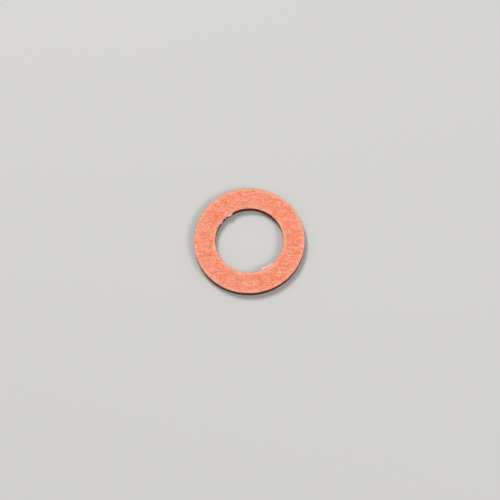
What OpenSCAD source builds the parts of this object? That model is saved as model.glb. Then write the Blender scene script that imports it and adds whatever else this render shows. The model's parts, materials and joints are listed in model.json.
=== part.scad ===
// Flat sealing ring for a drain plug, punched from vulcanised fibre sheet.
// It lies on the XY plane with its bore along Z, and its underside is at Z = 0.

/* [Ring] */
// Outside diameter of the ring
ring_od = 20; // [16:0.1:40]
// Diameter of the bore, which clears the plug's thread
bore_d = 12.2; // [6:0.1:16]
// Thickness of the sheet that the ring is punched from
sheet_t = 1.5; // [0.8:0.1:4]

/* [Punched edges] */
// Radius of the roll-over that the punch leaves round both upper edges
roll_r = 0.7; // [0.3:0.05:1.5]
// Drop of the roll-over below the upper face, where it meets the sheared wall
roll_drop = 0.15; // [0.05:0.01:0.3]
// Height of the break-out under the sheared wall
breakout_h = 0.45; // [0.1:0.05:0.6]
// Distance that the break-out draws back from the sheared wall at the underside
breakout_draw = 0.05; // [0.01:0.01:0.2]

/* [Hidden] */

$fn = 180;

// Colour of the red fibre
fibre_red = "#F59678";

ring_r = ring_od / 2;
bore_r = bore_d / 2;
// Width of the roll-over across the upper face, where its arc is tangent to that face
roll_w = sqrt(roll_drop * (2 * roll_r - roll_drop));
// Reach of a cut past the surface that it opens
overcut = roll_drop;

// What the roll-over takes off an upper edge, with the sharp edge at the origin and the ring towards -X
module roll_over() {
    difference() {
        translate([-roll_w, -roll_r]) square([roll_w + overcut, roll_r + overcut]);
        translate([-roll_w, -roll_r]) circle(r = roll_r);
    }
}

// Half section before its upper edges are rolled: straight sheared walls, drawn back below them
module sheared_section() {
    polygon([
        [bore_r + breakout_draw, 0],
        [ring_r - breakout_draw, 0],
        [ring_r, breakout_h],
        [ring_r, sheet_t],
        [bore_r, sheet_t],
        [bore_r, breakout_h]
    ]);
}

// Half section as punched
module ring_section() {
    difference() {
        sheared_section();
        translate([ring_r, sheet_t]) roll_over();
        translate([bore_r, sheet_t]) mirror([1, 0]) roll_over();
    }
}

// The whole ring, one piece of fibre
module sealing_ring() {
    color(fibre_red) rotate_extrude() ring_section();
}

sealing_ring();
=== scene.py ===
"""Flat sealing ring for a drain plug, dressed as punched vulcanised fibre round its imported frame."""

import json
import math

import bpy
import numpy as np
from mathutils import Matrix, Vector


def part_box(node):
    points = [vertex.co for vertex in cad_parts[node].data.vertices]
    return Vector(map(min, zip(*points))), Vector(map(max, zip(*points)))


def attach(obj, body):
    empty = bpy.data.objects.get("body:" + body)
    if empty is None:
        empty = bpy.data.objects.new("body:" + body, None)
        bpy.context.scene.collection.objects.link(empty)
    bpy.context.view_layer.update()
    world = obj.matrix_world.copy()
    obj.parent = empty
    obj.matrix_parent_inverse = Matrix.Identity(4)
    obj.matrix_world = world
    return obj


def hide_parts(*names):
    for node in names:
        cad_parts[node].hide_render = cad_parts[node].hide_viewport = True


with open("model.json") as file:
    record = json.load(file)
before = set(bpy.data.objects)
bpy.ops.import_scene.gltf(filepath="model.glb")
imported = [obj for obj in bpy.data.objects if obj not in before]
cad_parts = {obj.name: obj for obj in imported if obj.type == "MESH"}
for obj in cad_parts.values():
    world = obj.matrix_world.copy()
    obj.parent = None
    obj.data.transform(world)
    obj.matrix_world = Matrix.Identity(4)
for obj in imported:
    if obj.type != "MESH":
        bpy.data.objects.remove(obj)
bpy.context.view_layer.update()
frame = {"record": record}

bl_info = {
    "name": "Punched fibre gasket",
    "version": (1, 0, 0),
    "blender": (4, 5, 0),
    "location": "3D View > Sidebar > Gasket",
    "description": "Dresses a flat sealing ring as vulcanised fibre punched from sheet",
    "category": "Object",
}

MM = 0.001
MICRON = 0.001 * MM
ROUND = 2 * math.pi

NODE = "sealing_ring"
BODY = "root"

RING_LOW, RING_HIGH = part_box(NODE)
# The bore's mount spans the sheared land, between the break-out and the roll-over
BORE = next(m for m in frame["record"]["mounts"] if m["name"] == "plug_bore")
BORE_R = BORE["dims"]["r_mm"] * MM
HALF_LAND = BORE["dims"]["length_mm"] * MM / 2
LAND_LOW = BORE["pos_m"][2] - HALF_LAND
LAND_HIGH = BORE["pos_m"][2] + HALF_LAND

# Side of the photograph's frame, in pixels
IMAGE_SIDE = 500

# Cells down one half of the section, from the middle of the upper face to the middle of the underside
CELLS = {"face": 15, "roll": 8, "land": 20, "torn": 12, "under": 3}
# Cells round the ring
CELLS_ROUND = 858
# Cosines that are summed for each relief
WAVES = 48

# Noise on the walls: most waves round the ring, shortest wave up the wall, seed
TEAR_LINE = (70, 1.0 * MM, 1)
PLY_WANDER = (12, 3.0 * MM, 2)
SCORES = (380, 5.0 * MM, 3)
TEARS = (300, 0.16 * MM, 4)
# Noise on the upper face: shortest and longest wave across the grain, times longer along it, seed
FIBRES = (0.3 * MM, 1.2 * MM, 4, 5)
# Sway of the tear's upper line, as a share of the break-out, and of a ply line, as a share of a ply
TEAR_SWAY = 0.22
PLY_SWAY = 0.1
# Shift of the tear off centre, so that more of the band is torn away than stands proud
TEAR_SHIFT = 0.5
# Distance over which a relief fades at an edge
FADE = 0.1 * MM

# Slivers that the punch lifted at the bore: bearing in degrees, length, reach into the bore
SLIVERS = (
    (121.0, 1.50 * MM, 0.28 * MM),
    (130.5, 0.50 * MM, 0.14 * MM),
    (141.0, 1.10 * MM, 0.14 * MM),
    (-54.0, 1.10 * MM, 0.17 * MM),
    (-61.5, 1.30 * MM, 0.24 * MM),
    (-68.5, 1.30 * MM, 0.38 * MM),
    (-97.0, 0.50 * MM, 0.12 * MM),
    (-111.5, 0.60 * MM, 0.17 * MM),
)
SLIVER_RINGS = 24
SLIVER_SIDES = 12
# Waves along a sliver that notch its tip, and their depth as a share of its swell
NOTCHES = np.array([2, 5])
NOTCH = 0.05

# The ring's flat map: its name, the strips it holds, the gap round each as a share of a strip, and how
# finely the underside is mapped beside the rest
FLAT_MAP = "OFBake"
STRIPS = 3
STRIP_GAP = 0.006
UNDER_SHARE = 0.4

# Where the lamps stand, as seen from the ring
BACK = Vector((-0.25, 0.50, 0.83))
FRONT = Vector((0.60, -0.40, 0.70))


def linear(hex_colour):
    """The linear RGBA of an sRGB colour written as six hex digits."""
    parts = [int(hex_colour[i : i + 2], 16) / 255 for i in (1, 3, 5)]
    return [c / 12.92 if c <= 0.04045 else ((c + 0.055) / 1.055) ** 2.4 for c in parts] + [1.0]


def length(name, description, default):
    """A property for a real length."""
    return bpy.props.FloatProperty(
        name=name, description=description, default=default, precision=5, subtype="DISTANCE", unit="LENGTH"
    )


def turn(name, description, degrees):
    """A property for an angle."""
    return bpy.props.FloatProperty(
        name=name, description=description, default=math.radians(degrees), subtype="ANGLE", unit="ROTATION"
    )


def number(name, description, default, unit="NONE"):
    """A property for a plain number."""
    return bpy.props.FloatProperty(name=name, description=description, default=default, unit=unit)


def colour(name, description, hex_colour):
    """A property for a colour, written as sRGB."""
    return bpy.props.FloatVectorProperty(
        name=name,
        description=description,
        default=linear(hex_colour),
        size=4,
        min=0,
        max=1,
        subtype="COLOR",
    )


class RingSizes(bpy.types.PropertyGroup):
    """The ring's section, and the relief that rolling and punching left on it."""

    outer_r: length("Outside radius", "Radius of the outer wall", RING_HIGH.x)
    bore_r: length("Bore radius", "Radius of the wall round the bore", BORE_R)
    sheet_t: length("Thickness", "Thickness of the sheet", RING_HIGH.z)
    roll_r: length("Roll-over radius", "Radius of both upper edges", 0.7 * MM)
    roll_drop: length("Roll-over drop", "Drop of the roll-over at the wall", RING_HIGH.z - LAND_HIGH)
    breakout_h: length("Break-out height", "Height of the torn band under the sheared land", LAND_LOW)
    breakout_draw: length("Break-out draw", "How far the torn band draws back at the underside", 0.05 * MM)
    # Painted sheen: a paler band laid along both rolled edges
    rim_w: length("Rim width", "Width of the paler rim along both upper edges", 0.85 * MM)
    # Painted shade: a thin line of the wall's colour where a roll-over turns down to its wall
    edge_shade_w: length("Dark edge width", "Width of the dark line where a roll-over meets its wall", 0.08 * MM)
    grain: turn("Grain", "Direction of the sheet's grain from X", -13)
    face_relief: length("Face relief", "Usual height of the fibres on the upper face", 2.5 * MICRON)
    face_bump: length("Face bump", "Height of the finest fibres, drawn by the material", 12 * MICRON)
    ply_t: length("Ply", "Thickness of one ply of the sheet", 0.15 * MM)
    ply_groove: length("Ply groove", "Depth of the lines between plies on a wall", 8 * MICRON)
    score: length("Scores", "Usual depth of the upright scores that the punch left", 4 * MICRON)
    wall_bump: length("Wall bump", "Height of a wall's finest marks, drawn by the material", 10 * MICRON)
    tear: length("Tear", "Usual depth of the torn band's relief", 30 * MICRON)
    sliver_t: length("Sliver thickness", "Thickness of the slivers lifted at the bore", 0.04 * MM)
    sliver_drop: length("Sliver drop", "How far below the upper face the slivers stand", 0.17 * MM)
    sliver_root: length("Sliver root", "How deep a sliver's root lies in the wall", 0.05 * MM)
    sliver_lean: turn("Sliver lean", "How far a sliver leans up towards its tip", 20)


class FibreColours(bpy.types.PropertyGroup):
    """Colours of the fibre, as it looks in plain light."""

    deep: colour("Deep", "Fibres that lie deep in the face", "#FF7451")
    pale: colour("Pale", "Fibres that lie at the top of the face", "#FFC3A1")
    blush: colour("Blush", "Redder blotches in the face", "#FF6854")
    # Painted shade: the darker colour laid into the hollows between fibres
    shade: colour("Shade", "Hollows between fibres", "#CB6839")
    # Painted sheen along the rolled edges; the slivers take this colour at their roots too
    rim_sheen: colour("Rim", "Stretched fibre along the rolled edges", "#FFBEA3")
    # Partly the cut edge's own deeper red, partly painted shade on the upright walls
    wall: colour("Wall", "Sheared land", "#80261B")
    # Also laid over the torn band under the land as painted shade
    wall_dark: colour("Wall shade", "Lines between plies in a wall", "#4E120B")
    torn: colour("Torn", "Torn fibre under the land", "#A04A36")
    # Partly bare fibre, partly a painted glint on the slivers' tips
    frayed_glint: colour("Frayed", "Bare fibre at the tips of the slivers", "#FFF6E4")


class StageLook(bpy.types.PropertyGroup):
    """Floor, light and camera."""

    floor: colour("Floor", "Matt floor", "#D6D5D2")
    backdrop: colour("Backdrop", "What shows past the floor", "#DEDDDA")
    floor_side: length("Floor size", "Side of the square floor", 2.0)
    horizon: number("Horizon", "Strength of the dome's light at the horizon", 0.12)
    zenith: number("Zenith", "Strength of the dome's light overhead", 0.55)
    back_power: number("Back lamp", "Power of the lamp behind the ring", 2.0, "POWER")
    front_power: number("Front lamp", "Power of the lamp before the ring", 1.1, "POWER")
    lamp_far: length("Lamp distance", "From a lamp to the ring", 600 * MM)
    lamp_side: length("Lamp size", "Side of a square lamp", 200 * MM)
    elevation: turn("Elevation", "Camera's height above the horizon", 70.5)
    roll: turn("Roll", "Camera's turn about its own axis", -4.6)
    distance: length("Distance", "From the camera to what it looks at", 304.4 * MM)
    aim_y: length("Aim along", "Where the camera looks, from the ring's axis", -1.90 * MM)
    focal_px: number("Focal length", "Focal length in the photograph's pixels", 1700)


def closed_quads(rows, columns):
    """Corner numbers of the cells of a grid that closes on itself both ways, row after row."""
    row, column = np.meshgrid(np.arange(rows), np.arange(columns), indexing="ij")
    beside = (column + 1) % columns
    here, after = row * columns, (row + 1) % rows * columns
    return np.stack([here + beside, after + beside, after + column, here + column], -1).reshape(-1, 4)


def put_mesh(name, points, faces):
    """A smooth mesh object at the origin, from an array of points and a list of faces."""
    mesh = bpy.data.meshes.new(name)
    mesh.from_pydata(points.reshape(-1, 3).tolist(), [], faces)
    mesh.validate()
    mesh.shade_smooth()
    piece = bpy.data.objects.new(name, mesh)
    bpy.context.scene.collection.objects.link(piece)
    return piece


def put_attribute(piece, name, values):
    """One number for each vertex, which a material can read by name."""
    layer = piece.data.attributes.new(name, "FLOAT", "POINT")
    layer.data.foreach_set("value", np.ascontiguousarray(values, np.float32).ravel())


def put_map(piece, name, places):
    """A flat map of a piece: a place for each corner of each face."""
    layer = piece.data.uv_layers.new(name=name)
    layer.uv.foreach_set("vector", np.ascontiguousarray(places, np.float32).ravel())


def eased(x):
    """x held between 0 and 1, then eased at both ends: 3x squared less 2x cubed."""
    x = np.clip(x, 0, 1)
    return x * x * (3 - 2 * x)


def ripples(bearing, height, turns, pitch, seed):
    """Noise on a wall, of unit spread: a sum of cosines of bearing and height, each with its own phase.

    Each has a whole number of waves round the ring, up to turns, so the noise closes, and its waves up the
    wall are no shorter than pitch.
    """
    rng = np.random.default_rng(seed)
    round_ring = rng.integers(-turns, turns + 1, WAVES)
    up_wall = rng.uniform(-1, 1, WAVES) * ROUND / pitch
    phase = rng.uniform(0, ROUND, WAVES)
    waves = np.cos(bearing[..., None] * round_ring + height[..., None] * up_wall + phase)
    return waves.sum(-1) * math.sqrt(2 / WAVES)


def felted(along, across, shortest, longest, stretch, seed):
    """Noise on a face, of unit spread: a sum of cosines whose waves are stretched along the grain."""
    rng = np.random.default_rng(seed)
    wave = ROUND / rng.uniform(shortest, longest, WAVES)
    heading = rng.uniform(0, ROUND, WAVES)
    phase = rng.uniform(0, ROUND, WAVES)
    way = along[..., None] * np.cos(heading) / stretch + across[..., None] * np.sin(heading)
    return np.cos(way * wave + phase).sum(-1) * math.sqrt(2 / WAVES)


def half_section(sizes):
    """Reach from the section's middle, and height, of each station down its outer half.

    The upper face is a line, the roll-over an arc that leaves it without a corner, the land an upright
    line, the break-out a line that leans in, and the underside a line back to the middle.
    """
    half = (sizes.outer_r - sizes.bore_r) / 2
    roll_w = math.sqrt(sizes.roll_drop * (2 * sizes.roll_r - sizes.roll_drop))
    tilt = np.linspace(0, math.asin(roll_w / sizes.roll_r), CELLS["roll"], endpoint=False)
    foot = half - sizes.breakout_draw
    reach = [
        np.linspace(0, half - roll_w, CELLS["face"], endpoint=False),
        half - roll_w + sizes.roll_r * np.sin(tilt),
        np.full(CELLS["land"], half),
        np.linspace(half, foot, CELLS["torn"], endpoint=False),
        np.linspace(foot, 0, CELLS["under"] + 1),
    ]
    height = [
        np.full(CELLS["face"], sizes.sheet_t),
        sizes.sheet_t - sizes.roll_r * (1 - np.cos(tilt)),
        np.linspace(sizes.sheet_t - sizes.roll_drop, sizes.breakout_h, CELLS["land"], endpoint=False),
        np.linspace(sizes.breakout_h, 0, CELLS["torn"], endpoint=False),
        np.zeros(CELLS["under"] + 1),
    ]
    return np.concatenate(reach), np.concatenate(height)


def whole_loop(outer_half):
    """A list down the outer half of the section, carried on up the inner half, which mirrors it."""
    return np.concatenate([outer_half, outer_half[-2:0:-1]])


def ring_shape(sizes):
    """The ring's points on a grid of bearing by station, and what a material reads at each of them.

    A point lies at the middle radius plus its reach outwards or inwards, turned through its bearing. Walls
    are cut back by grooves between plies, upright scores and, under a wavy line, the tear. Fibres raise
    and lower the upper face.
    """
    reach, height = half_section(sizes)
    last = len(reach) - 1
    side = np.concatenate([np.ones(last + 1), -np.ones(last - 1)])[None]
    reach, height = whole_loop(reach)[None], whole_loop(height)[None]
    bearing = np.linspace(0, ROUND, CELLS_ROUND, endpoint=False)[:, None]
    middle_r = (sizes.outer_r + sizes.bore_r) / 2
    half = (sizes.outer_r - sizes.bore_r) / 2
    # Bearings that differ from wall to wall, so that no relief repeats across the ring
    apart = bearing + side
    level = np.broadcast_to(height, apart.shape)

    corner = sizes.sheet_t - sizes.roll_drop
    on_top = height >= corner
    on_wall = ~on_top & (reach >= half - sizes.breakout_draw - MICRON)

    tear_line = sizes.breakout_h * (1 + TEAR_SWAY * ripples(apart, 0 * level, *TEAR_LINE))
    torn = on_wall * eased((tear_line - level) / FADE)
    wander = PLY_SWAY * sizes.ply_t * ripples(apart, level, *PLY_WANDER)
    # A groove is narrower than the ply between two of them, so it is a raised cosine squared
    grooves = (0.5 + 0.5 * np.cos(ROUND * (level + wander) / sizes.ply_t)) ** 2
    scores = np.abs(ripples(apart, level, *SCORES))
    tears = np.abs(TEAR_SHIFT + ripples(apart, level, *TEARS))
    cut = (1 - torn) * (sizes.ply_groove * grooves + sizes.score * scores) + torn * sizes.tear * tears
    reach = reach - on_wall * eased((corner - height) / FADE) * cut

    radius = middle_r + side * reach
    x, y = radius * np.cos(bearing), radius * np.sin(bearing)
    along = x * math.cos(sizes.grain) + y * math.sin(sizes.grain)
    across = y * math.cos(sizes.grain) - x * math.sin(sizes.grain)
    fibres = sizes.face_relief * felted(along, across, *FIBRES)
    z = level + on_top * eased((level - corner) / FADE) * fibres

    # Bands on the upper face: the rim's painted sheen, and the cut's thin line of painted shade at the wall
    widths = {"rim_sheen": sizes.rim_w, "cut": sizes.edge_shade_w}
    bands = {name: on_top * eased(1 - (half - reach) / width) for name, width in widths.items()}
    return np.stack([x, y, z], -1), {"torn": torn, **bands}


def cell_names():
    """For each cell round the section, the part of the section that it lies on."""
    names = np.repeat(list(CELLS), list(CELLS.values()))
    return np.concatenate([names, names[::-1]])


def strip_map(sizes):
    """Where each corner of each cell lies on the ring's flat map, in the order of closed_quads.

    The ring is cut across into equal lengths, which lie flat as strips, one above another. A corner's
    place along its strip is its bearing, and its place across is the way round the section, from the
    middle of the underside.
    """
    reach, height = (whole_loop(values) for values in half_section(sizes))
    way = np.hypot(np.roll(reach, -1) - reach, np.roll(height, -1) - height)
    way *= np.where(cell_names() == "under", UNDER_SHARE, 1)
    under = len(way) // 2
    far = np.roll(np.cumsum(np.roll(way, -under)), under)
    near = far - way
    # Counted down, so that the map isn't mirrored
    across = 1 - np.stack([far, far, near, near], -1) / way.sum()

    cells_long = CELLS_ROUND // STRIPS
    strip, place = np.divmod(np.arange(CELLS_ROUND), cells_long)
    along = (place[:, None] + np.array([0, 1, 1, 0])) / cells_long

    inside = 1 - 2 * STRIP_GAP
    u = STRIP_GAP + inside * along[:, None]
    v = (strip[:, None, None] + STRIP_GAP + inside * across[None]) / STRIPS
    return np.stack(np.broadcast_arrays(u, v), -1)


def spindle_faces(rings, sides):
    """Cells of a tube of rings, and the fans that close it at a pole on each end.

    The poles' numbers come after those of the rings.
    """
    row, column = np.meshgrid(np.arange(rings - 1), np.arange(sides), indexing="ij")
    beside = (column + 1) % sides
    here, after = row * sides, (row + 1) * sides
    cells = [here + column, here + beside, after + beside, after + column]
    near, far = rings * sides, rings * sides + 1
    around = np.arange(sides)
    ahead = (around + 1) % sides
    last = (rings - 1) * sides
    near_fan = np.stack([np.full(sides, near), ahead, around], -1)
    far_fan = np.stack([np.full(sides, far), last + around, last + ahead], -1)
    return np.stack(cells, -1).reshape(-1, 4), np.concatenate([near_fan, far_fan])


def sliver_shape(sizes, bearing, span, reach):
    """One sliver's rings and then its two poles, and how near each point lies to the tip, from 0 to 1.

    A flat lens is carried along the bore's wall. Its width and thickness swell as a sine from end to end,
    a few cosines notch its tip, its root lies in the wall, and it leans up towards its tip.
    """
    root, middle = sizes.sliver_root, math.radians(bearing)
    along = np.linspace(0, 1, SLIVER_RINGS + 2)[1:-1, None]
    around = np.linspace(0, ROUND, SLIVER_SIDES, endpoint=False)[None]
    notches = np.cos(ROUND * NOTCHES * along + NOTCHES * bearing).sum(-1, keepdims=True)
    swell = np.sin(math.pi * along) * (1 + NOTCH * notches)
    out = (reach + root) / 2 * (1 + swell * np.cos(around)) - root - reach / 2 * (1 - swell)
    up = sizes.sliver_t / 2 * swell * np.sin(around)
    angle = middle + (along - 0.5) * span / sizes.bore_r
    level, rise = math.cos(sizes.sliver_lean), math.sin(sizes.sliver_lean)
    radius = sizes.bore_r - out * level + up * rise
    z = sizes.sheet_t - sizes.sliver_drop + out * rise + up * level
    rings = np.stack([radius * np.cos(angle), radius * np.sin(angle), z], -1)
    ends = middle + np.array([-0.5, 0.5]) * span / sizes.bore_r
    in_wall = sizes.bore_r + root / 2
    poles = np.stack([in_wall * np.cos(ends), in_wall * np.sin(ends), np.full(2, z.mean())], -1)
    return np.concatenate([rings.reshape(-1, 3), poles]), np.append(np.clip(out / reach, 0, 1), (0, 0))


def add_node(tree, kind, out=None, inputs=None, **settings):
    """Adds a node, sets its properties and fills its inputs: a socket is linked, a value is set.

    Inputs go by identifier. Returns the output named out, or else the first that is in use.
    """
    node = tree.nodes.new(kind)
    for name, value in settings.items():
        setattr(node, name, value)
    sockets = {s.identifier: s for s in node.inputs}
    for name, value in (inputs or {}).items():
        if isinstance(value, bpy.types.NodeSocket):
            tree.links.new(value, sockets[name])
        else:
            sockets[name].default_value = value
    if out:
        return node.outputs[out]
    return next((s for s in node.outputs if s.enabled), None)


def new_material(name):
    """An empty material and its node tree."""
    material = bpy.data.materials.new(name)
    material.use_nodes = True
    material.node_tree.nodes.clear()
    return material, material.node_tree


def weave(tree, place, patterns, sums):
    """Adds patterns of noise at a place to named sums, and returns the sums.

    Each pattern gives its heading about Z, its size along, across and up, its octaves, a line width or
    None, and its share in each sum that it adds to. One with a line width shows as thin lines where its
    noise is nought, like single fibres.
    """
    for heading, size, octaves, line, shares in patterns:
        laid = add_node(
            tree,
            "ShaderNodeMapping",
            inputs={"Vector": place, "Rotation": (0, 0, heading), "Scale": size},
            vector_type="TEXTURE",
        )
        # Not normalised, so it strays equally to both sides of nought
        mark = add_node(
            tree,
            "ShaderNodeTexNoise",
            inputs={"Vector": laid, "Scale": 1.0, "Detail": octaves},
            normalize=False,
        )
        if line:
            off_line = add_node(tree, "ShaderNodeMath", inputs={"Value": mark}, operation="ABSOLUTE")
            mark = add_node(
                tree,
                "ShaderNodeMapRange",
                inputs={"Value": off_line, "From Max": line, "To Min": 1.0, "To Max": 0.0},
            )
        for name, share in shares.items():
            sums[name] = add_node(
                tree,
                "ShaderNodeMath",
                inputs={"Value": mark, "Value_001": share, "Value_002": sums[name]},
                operation="MULTIPLY_ADD",
            )
    return sums


def calendered_fibre(sizes, colours):
    """Vulcanised fibre, the rolled face of the sheet: cotton paper gelled into one hard mass.

    The eye gets a dull, slightly uneven salmon skin: short wavy fibres that lie mostly with the grain,
    painted shade in the hollows between them, redder blotches a millimetre or two wide, a painted paler
    sheen along the rolled edges, and a thin line of painted shade where the skin turns down to a wall.
    """
    material, tree = new_material("vulcanised_fibre_calendered")
    place = add_node(tree, "ShaderNodeTexCoord", "Object")
    # The strands' sway: its length, and its width from side to side
    sway_long, sway_wide = 0.9 * MM, 0.24 * MM
    warp = add_node(
        tree, "ShaderNodeTexNoise", "Color", {"Vector": place, "Scale": 1 / sway_long, "Detail": 1.0}
    )
    wavy = add_node(
        tree,
        "ShaderNodeVectorMath",
        inputs={"Vector": warp, "Vector_001": [sway_wide] * 3, "Vector_002": place},
        operation="MULTIPLY_ADD",
    )
    # Each pattern's turn from the grain in degrees, its size along and across, its octaves, its line width
    # and its shares. Strands are coarser than real fibre, 0.02 mm wide, which a pixel would hide.
    strands = (
        (0, 2.7 * MM, 1.0 * MM, 2.0, None, dict(tone=0.29, red=0.28, rim_sheen=0.3)),
        (0, 1.4 * MM, 0.8 * MM, 0.0, None, dict(tone=-0.05, red=0.30)),
        (0, 1.5 * MM, 0.18 * MM, 1.0, None, dict(tone=0.30, shade=-0.32, lie=0.3, rim_sheen=0.3)),
        (0, 0.36 * MM, 0.17 * MM, 2.0, None, dict(tone=0.38, shade=-0.34, lie=0.25, rim_sheen=0.3, cut=0.9)),
        (0, 0.18 * MM, 0.13 * MM, 1.0, None, dict(tone=0.42, shade=-0.39, lie=0.2)),
        (-14, 3.0 * MM, 0.36 * MM, 1.0, 0.12, dict(tone=0.34, shade=-0.12, lie=0.5, rim_sheen=0.2)),
        (11, 2.4 * MM, 0.30 * MM, 1.0, 0.10, dict(tone=-0.14, shade=0.20, lie=-0.4)),
        (-58, 1.6 * MM, 0.40 * MM, 1.0, 0.06, dict(tone=0.26, shade=-0.10, lie=0.4)),
    )
    patterns = [
        (sizes.grain + math.radians(turned), (along, across, across), *rest)
        for turned, along, across, *rest in strands
    ]
    start = dict(tone=0.45, red=0.2, shade=0.19, rim_sheen=0.52, cut=0.60, lie=1.0)
    sums = weave(tree, wavy, patterns, start)
    for name in ("rim_sheen", "cut"):
        band = add_node(tree, "ShaderNodeAttribute", "Fac", attribute_name=name)
        sums[name] = add_node(
            tree, "ShaderNodeMath", inputs={"Value": band, "Value_001": sums[name]}, operation="MULTIPLY"
        )
    # Painted light in these layers: shade in hollows, sheen on the rolled edges, shade at each wall's top
    layers = {
        "tone": colours.pale,
        "red": colours.blush,
        "shade": colours.shade,
        "rim_sheen": colours.rim_sheen,
        "cut": colours.wall,
    }
    skin = colours.deep[:]
    for name, layer in layers.items():
        skin = add_node(
            tree,
            "ShaderNodeMix",
            inputs={"Factor_Float": sums[name], "A_Color": skin, "B_Color": layer[:]},
            data_type="RGBA",
        )
    relief = add_node(tree, "ShaderNodeBump", inputs={"Height": sums["lie"], "Distance": sizes.face_bump})
    shader = add_node(
        tree,
        "ShaderNodeBsdfPrincipled",
        inputs={"Base Color": skin, "Roughness": 0.62, "Specular IOR Level": 0.3, "Normal": relief},
    )
    add_node(tree, "ShaderNodeOutputMaterial", inputs={"Surface": shader})
    return material


def sheared_fibre(sizes, colours):
    """Vulcanised fibre, cut by a punch: the land is burnished, and the band under it is torn.

    The eye gets a deep red band, hardly glossy, with level lines where the plies meet and fine upright
    scores, above a dull, ragged band where loose fibres show paler. The deep red is partly the cut edge's
    own colour and partly painted shade on the upright walls, and the torn band is darkened further with
    painted shade under the land.
    """
    material, tree = new_material("vulcanised_fibre_sheared")
    place = add_node(tree, "ShaderNodeTexCoord", "Object")
    torn = add_node(tree, "ShaderNodeAttribute", "Fac", attribute_name="torn")
    # Plies, blotches, scores, tears and loose fibres: each one's size round the ring and up the wall, its
    # octaves, its line width and its shares. Loose fibres are coarser than real ones, which a pixel would
    # hide.
    marks = (
        (1.4 * MM, 0.07 * MM, 2.0, None, dict(land=0.40, ragged=0.2)),
        (0.5 * MM, 0.35 * MM, 2.0, None, dict(land=0.45)),
        (0.12 * MM, 5.0 * MM, 2.0, None, dict(land=0.15, scored=1.0)),
        (0.3 * MM, 0.1 * MM, 3.0, None, dict(ragged=0.6, ripped=1.0)),
        (0.7 * MM, 0.12 * MM, 1.0, 0.12, dict(ragged=0.3, ripped=0.5)),
    )
    patterns = [(0.0, (level, level, upright), *rest) for level, upright, *rest in marks]
    sums = weave(tree, place, patterns, dict(land=0.55, ragged=0.5, scored=0.5, ripped=0.5))
    loose = add_node(
        tree, "ShaderNodeMath", inputs={"Value": torn, "Value_001": sums["ragged"]}, operation="MULTIPLY"
    )
    # From the ply lines' dark colour to the land's red; the torn band is darkened back as painted shade
    skin = colours.wall_dark[:]
    for share, layer in ((sums["land"], colours.wall), (torn, colours.wall_dark), (loose, colours.torn)):
        skin = add_node(
            tree,
            "ShaderNodeMix",
            inputs={"Factor_Float": share, "A_Color": skin, "B_Color": layer[:]},
            data_type="RGBA",
        )
    # Roughness of the burnished land and of the torn band
    burnished, dull = 0.42, 0.85
    rough = add_node(
        tree, "ShaderNodeMapRange", inputs={"Value": torn, "To Min": burnished, "To Max": dull}
    )
    lie = add_node(
        tree,
        "ShaderNodeMix",
        inputs={"Factor_Float": torn, "A_Float": sums["scored"], "B_Float": sums["ripped"]},
        data_type="FLOAT",
    )
    relief = add_node(tree, "ShaderNodeBump", inputs={"Height": lie, "Distance": sizes.wall_bump})
    shader = add_node(
        tree,
        "ShaderNodeBsdfPrincipled",
        inputs={"Base Color": skin, "Roughness": rough, "Specular IOR Level": 0.05, "Normal": relief},
    )
    add_node(tree, "ShaderNodeOutputMaterial", inputs={"Surface": shader})
    return material


def frayed_fibre(colours):
    """Vulcanised fibre, lifted as slivers that fray to bare cotton, which the dye hardly reached.

    The eye gets thin flakes, salmon at the root and cream at the tip, that catch the light. The cream is
    partly bare fibre and partly a painted glint.
    """
    material, tree = new_material("vulcanised_fibre_frayed")
    place = add_node(tree, "ShaderNodeTexCoord", "Object")
    tip = add_node(tree, "ShaderNodeAttribute", "Fac", attribute_name="tip")
    # Streaks of dye in the bare cotton: heading, size, octaves, line width and share
    streaks = [(0.0, [0.15 * MM] * 3, 2.0, None, dict(bare=0.5))]
    sums = weave(tree, place, streaks, dict(bare=tip))
    # From the rim's painted sheen colour at the root to the cream tip, itself partly a painted glint
    skin = add_node(
        tree,
        "ShaderNodeMix",
        inputs={"Factor_Float": sums["bare"], "A_Color": colours.rim_sheen[:], "B_Color": colours.frayed_glint[:]},
        data_type="RGBA",
    )
    shader = add_node(
        tree,
        "ShaderNodeBsdfPrincipled",
        inputs={"Base Color": skin, "Roughness": 0.6, "Specular IOR Level": 0.3},
    )
    add_node(tree, "ShaderNodeOutputMaterial", inputs={"Surface": shader})
    return material


def matt_floor(look):
    """Matt paint on a flat board, which gives a plain pale ground and keeps a soft shadow."""
    material, tree = new_material("matt_paint_floor")
    shader = add_node(
        tree,
        "ShaderNodeBsdfPrincipled",
        inputs={"Base Color": look.floor[:], "Roughness": 0.9, "Specular IOR Level": 0.1},
    )
    add_node(tree, "ShaderNodeOutputMaterial", inputs={"Surface": shader})
    return material


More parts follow.
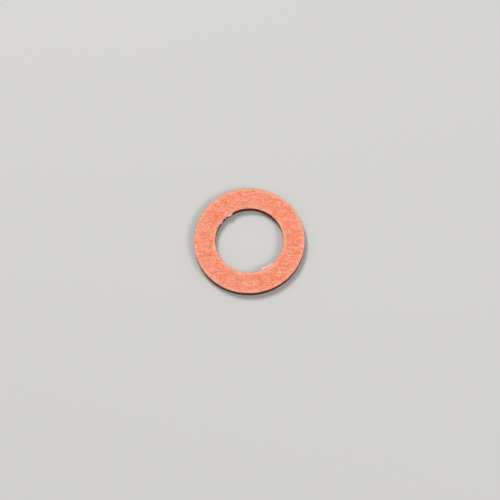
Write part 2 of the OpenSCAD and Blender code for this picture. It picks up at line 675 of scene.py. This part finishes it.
def soft_dome(look):
    """World light that is brightest overhead and fades to the horizon.

    Camera, glossy and transmission rays see the plain backdrop in its place.
    """
    world = bpy.data.worlds.new("soft_dome")
    bpy.context.scene.world = world
    world.use_nodes = True
    tree = world.node_tree
    tree.nodes.clear()
    way = add_node(tree, "ShaderNodeTexCoord", "Generated")
    up = add_node(tree, "ShaderNodeSeparateXYZ", "Z", {"Vector": way})
    strength = add_node(
        tree, "ShaderNodeMapRange", inputs={"Value": up, "To Min": look.horizon, "To Max": look.zenith}
    )
    dome = add_node(tree, "ShaderNodeBackground", inputs={"Strength": strength})
    plain = add_node(tree, "ShaderNodeBackground", inputs={"Color": look.backdrop[:]})
    seen = add_node(tree, "ShaderNodeLightPath", "Is Camera Ray")
    rays = seen.node.outputs
    for ray in ("Is Glossy Ray", "Is Transmission Ray"):
        seen = add_node(
            tree, "ShaderNodeMath", inputs={"Value": seen, "Value_001": rays[ray]}, operation="MAXIMUM"
        )
    mixed = add_node(
        tree, "ShaderNodeMixShader", inputs={"Fac": seen, "Shader": dome, "Shader_001": plain}
    )
    add_node(tree, "ShaderNodeOutputWorld", inputs={"Surface": mixed})


def soft_lamp(name, toward, look, power):
    """A square lamp that stands off in one direction and faces the ring."""
    data = bpy.data.lights.new(name, "AREA")
    data.shape = "SQUARE"
    data.size = look.lamp_side
    data.energy = power
    lamp = bpy.data.objects.new(name, data)
    facing = toward.to_track_quat("Z", "Y").to_matrix().to_4x4()
    lamp.matrix_world = Matrix.Translation(toward.normalized() * look.lamp_far) @ facing
    bpy.context.scene.collection.objects.link(lamp)


def still_camera(look):
    """A camera that looks down on the ring from the front, at the photograph's angle and scale."""
    data = bpy.data.cameras.new("camera")
    data.lens = look.focal_px * data.sensor_width / IMAGE_SIDE
    data.clip_start = MM
    camera = bpy.data.objects.new("camera", data)
    back = Vector((0, -math.cos(look.elevation), math.sin(look.elevation)))
    aim = Vector((0, look.aim_y, RING_HIGH.z))
    facing = back.to_track_quat("Z", "Y").to_matrix() @ Matrix.Rotation(look.roll, 3, "Z")
    camera.matrix_world = Matrix.Translation(aim + back * look.distance) @ facing.to_4x4()
    bpy.context.scene.collection.objects.link(camera)
    return camera


class GASKET_OT_ring(bpy.types.Operator):
    """Make the ring, with its punched walls and its fibrous faces"""

    bl_idname = "gasket.ring"
    bl_label = "Ring"

    def execute(self, context):
        sizes, colours = context.scene.gasket_sizes, context.scene.gasket_colours
        points, numbers = ring_shape(sizes)
        rows, columns = points.shape[:2]
        piece = put_mesh("fibre_ring", points, closed_quads(rows, columns).tolist())
        put_map(piece, FLAT_MAP, strip_map(sizes))
        for name, values in numbers.items():
            put_attribute(piece, name, values)
        piece.data.materials.append(calendered_fibre(sizes, colours))
        piece.data.materials.append(sheared_fibre(sizes, colours))
        on_wall = np.isin(cell_names(), ("land", "torn"))
        piece.data.polygons.foreach_set("material_index", np.tile(on_wall, rows).astype(np.int32))
        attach(piece, BODY)
        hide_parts(NODE)
        return {"FINISHED"}


class GASKET_OT_slivers(bpy.types.Operator):
    """Make the slivers of fibre that the punch lifted at the bore"""

    bl_idname = "gasket.slivers"
    bl_label = "Slivers"

    def execute(self, context):
        sizes, colours = context.scene.gasket_sizes, context.scene.gasket_colours
        points, tips = zip(*(sliver_shape(sizes, *row) for row in SLIVERS))
        cells, fans = spindle_faces(SLIVER_RINGS, SLIVER_SIDES)
        first = np.arange(len(SLIVERS))[:, None, None] * len(tips[0])
        faces = (first + cells).reshape(-1, 4).tolist() + (first + fans).reshape(-1, 3).tolist()
        piece = put_mesh("lifted_slivers", np.concatenate(points), faces)
        put_attribute(piece, "tip", np.concatenate(tips))
        piece.data.materials.append(frayed_fibre(colours))
        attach(piece, BODY)
        return {"FINISHED"}


class GASKET_OT_stage(bpy.types.Operator):
    """Set the floor, the lights and the camera"""

    bl_idname = "gasket.stage"
    bl_label = "Stage"

    def execute(self, context):
        scene, look = context.scene, context.scene.gasket_stage
        half = look.floor_side / 2
        # A hair below the ring, so that the two don't share a plane
        below = RING_LOW.z - MICRON
        outline = np.array([(-half, -half), (half, -half), (half, half), (-half, half)])
        corners = np.column_stack([outline, np.full(len(outline), below)])
        floor = put_mesh("floor", corners, [range(len(outline))])
        floor.data.materials.append(matt_floor(look))
        soft_dome(look)
        soft_lamp("back_lamp", BACK, look, look.back_power)
        soft_lamp("front_lamp", FRONT, look, look.front_power)
        scene.camera = still_camera(look)
        scene.view_settings.view_transform = "Standard"
        return {"FINISHED"}


class GASKET_PT_panel(bpy.types.Panel):
    """Sizes, colours and stage of the gasket, with the operators that make them"""

    bl_label = "Fibre gasket"
    bl_idname = "GASKET_PT_panel"
    bl_space_type = "VIEW_3D"
    bl_region_type = "UI"
    bl_category = "Gasket"

    def draw(self, context):
        for name in GROUPS:
            group = getattr(context.scene, name)
            box = self.layout.box()
            for entry in group.__annotations__:
                box.prop(group, entry)
        for operator in OPERATORS:
            self.layout.operator(operator.bl_idname)


GROUPS = {"gasket_sizes": RingSizes, "gasket_colours": FibreColours, "gasket_stage": StageLook}
OPERATORS = (GASKET_OT_ring, GASKET_OT_slivers, GASKET_OT_stage)


def register():
    """Adds the groups to every scene, then the operators and the panel."""
    for name, group in GROUPS.items():
        bpy.utils.register_class(group)
        setattr(bpy.types.Scene, name, bpy.props.PointerProperty(type=group))
    for kind in (*OPERATORS, GASKET_PT_panel):
        bpy.utils.register_class(kind)


def unregister():
    """Takes away what register added."""
    for kind in (GASKET_PT_panel, *reversed(OPERATORS)):
        bpy.utils.unregister_class(kind)
    for name, group in GROUPS.items():
        delattr(bpy.types.Scene, name)
        bpy.utils.unregister_class(group)


def main():
    register()
    bpy.ops.gasket.ring()
    bpy.ops.gasket.slivers()
    bpy.ops.gasket.stage()


if __name__ == "__main__":
    main()
